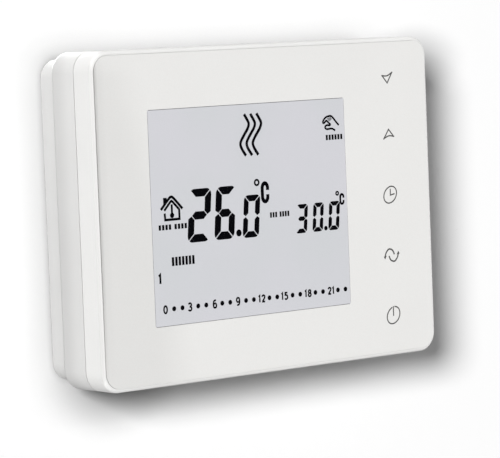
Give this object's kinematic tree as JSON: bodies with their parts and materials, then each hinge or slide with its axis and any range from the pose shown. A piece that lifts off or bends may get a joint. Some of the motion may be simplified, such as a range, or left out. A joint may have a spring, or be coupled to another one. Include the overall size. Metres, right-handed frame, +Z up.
{
  "type": "wall thermostat",
  "caption": "Flat white room thermostat with a segment display and touch keys, on a wall plate with screw terminals.",
  "frame": {"origin": "middle of the wall plate's back face, on the wall", "axes": "+Z up, +X to the right as seen from the front, the front faces -Y and the wall is at +Y"},
  "size_m": [0.12, 0.025, 0.09],
  "materials": {
    "shell_white": "fine moulded texture, satin",
    "panel_white": "smooth matt printed sheet",
    "clear_window": "clear, low gloss",
    "display_glass": "polished glass",
    "polariser_film": "grey film",
    "diffuser_white": "milky diffuser",
    "frame_white": "moulded",
    "elastomer": "silicone",
    "led_cream": "moulded lens",
    "board_green": "solder mask",
    "chip_black": "moulded",
    "relay_blue": "moulded cover",
    "can_aluminium": "drawn can",
    "bright_steel": "nickel plated",
    "blade_brass": "tinned brass",
    "battery_sleeve": "printed sleeve, plain",
    "terminal_green": "moulded nylon"
  },
  "bodies": {
    "wall_plate": {"wall_plate": "shell_white", "terminal_block": "terminal_green", "contact_blade_1": "blade_brass", "contact_blade_2": "blade_brass", "contact_blade_3": "blade_brass", "latch_pin": "bright_steel"},
    "thermostat_unit": {"front_panel": "panel_white", "display_window": "clear_window", "front_case": "shell_white", "rear_case": "shell_white", "front_polariser": "polariser_film", "lcd_upper_glass": "display_glass", "lcd_lower_glass": "display_glass", "rear_polariser": "polariser_film", "light_guide": "diffuser_white", "reflector_sheet": "diffuser_white", "lcd_frame": "frame_white", "zebra_strip_upper": "elastomer", "zebra_strip_lower": "elastomer", "backlight_led_1": "led_cream", "backlight_led_2": "led_cream", "main_board": "board_green", "microcontroller": "chip_black", "touch_controller": "chip_black", "crystal": "bright_steel", "buzzer": "chip_black", "capacitor_1": "can_aluminium", "capacitor_2": "can_aluminium", "relay": "relay_blue", "thermistor": "chip_black", "header_socket": "chip_black", "touch_spring_1": "bright_steel", "touch_spring_2": "bright_steel", "touch_spring_3": "bright_steel", "touch_spring_4": "bright_steel", "touch_spring_5": "bright_steel", "battery_1": "battery_sleeve", "battery_2": "battery_sleeve", "battery_link_contact": "bright_steel", "battery_positive_contact": "bright_steel", "battery_negative_contact": "bright_steel", "case_screw_1": "bright_steel", "case_screw_2": "bright_steel", "case_screw_3": "bright_steel", "case_screw_4": "bright_steel", "board_screw_1": "bright_steel", "board_screw_2": "bright_steel", "board_screw_3": "bright_steel"},
    "release_latch": {"release_latch": "shell_white", "latch_spring": "bright_steel"},
    "terminal_screw_1": {"terminal_screw_1": "bright_steel"},
    "terminal_clamp_1": {"terminal_clamp_1": "bright_steel"},
    "terminal_screw_2": {"terminal_screw_2": "bright_steel"},
    "terminal_clamp_2": {"terminal_clamp_2": "bright_steel"},
    "terminal_screw_3": {"terminal_screw_3": "bright_steel"},
    "terminal_clamp_3": {"terminal_clamp_3": "bright_steel"}
  },
  "joints": [
    {"name": "unit_pull_off", "type": "slide", "parent": "wall_plate", "child": "thermostat_unit", "axis": [0, -1, 0], "range_m": [0, 0.03]},
    {"name": "latch_release", "type": "hinge", "parent": "wall_plate", "child": "release_latch", "pos_m": [0, -0.00375, -0.0414], "axis": [-1, 0, 0], "range_deg": [0, 6], "stiffness_Nm_per_rad": 0.05},
    {"name": "terminal_screw_1_turn", "type": "hinge", "parent": "wall_plate", "child": "terminal_screw_1", "pos_m": [0.01645, -0.0114, -0.02405], "axis": [0, 1, 0], "range_deg": [0, 1080]},
    {"name": "terminal_clamp_1_rise", "type": "slide", "parent": "wall_plate", "child": "terminal_clamp_1", "axis": [0, -1, 0], "range_m": [0, 0.0015]},
    {"name": "terminal_screw_2_turn", "type": "hinge", "parent": "wall_plate", "child": "terminal_screw_2", "pos_m": [0.02395, -0.0114, -0.02405], "axis": [0, 1, 0], "range_deg": [0, 1080]},
    {"name": "terminal_clamp_2_rise", "type": "slide", "parent": "wall_plate", "child": "terminal_clamp_2", "axis": [0, -1, 0], "range_m": [0, 0.0015]},
    {"name": "terminal_screw_3_turn", "type": "hinge", "parent": "wall_plate", "child": "terminal_screw_3", "pos_m": [0.03145, -0.0114, -0.02405], "axis": [0, 1, 0], "range_deg": [0, 1080]},
    {"name": "terminal_clamp_3_rise", "type": "slide", "parent": "wall_plate", "child": "terminal_clamp_3", "axis": [0, -1, 0], "range_m": [0, 0.0015]}
  ],
  "couplings": [
    {"joint": "terminal_screw_1_turn", "follows": "terminal_clamp_1_rise", "rad_per_m": 12566},
    {"joint": "terminal_screw_2_turn", "follows": "terminal_clamp_2_rise", "rad_per_m": 12566},
    {"joint": "terminal_screw_3_turn", "follows": "terminal_clamp_3_rise", "rad_per_m": 12566}
  ]
}
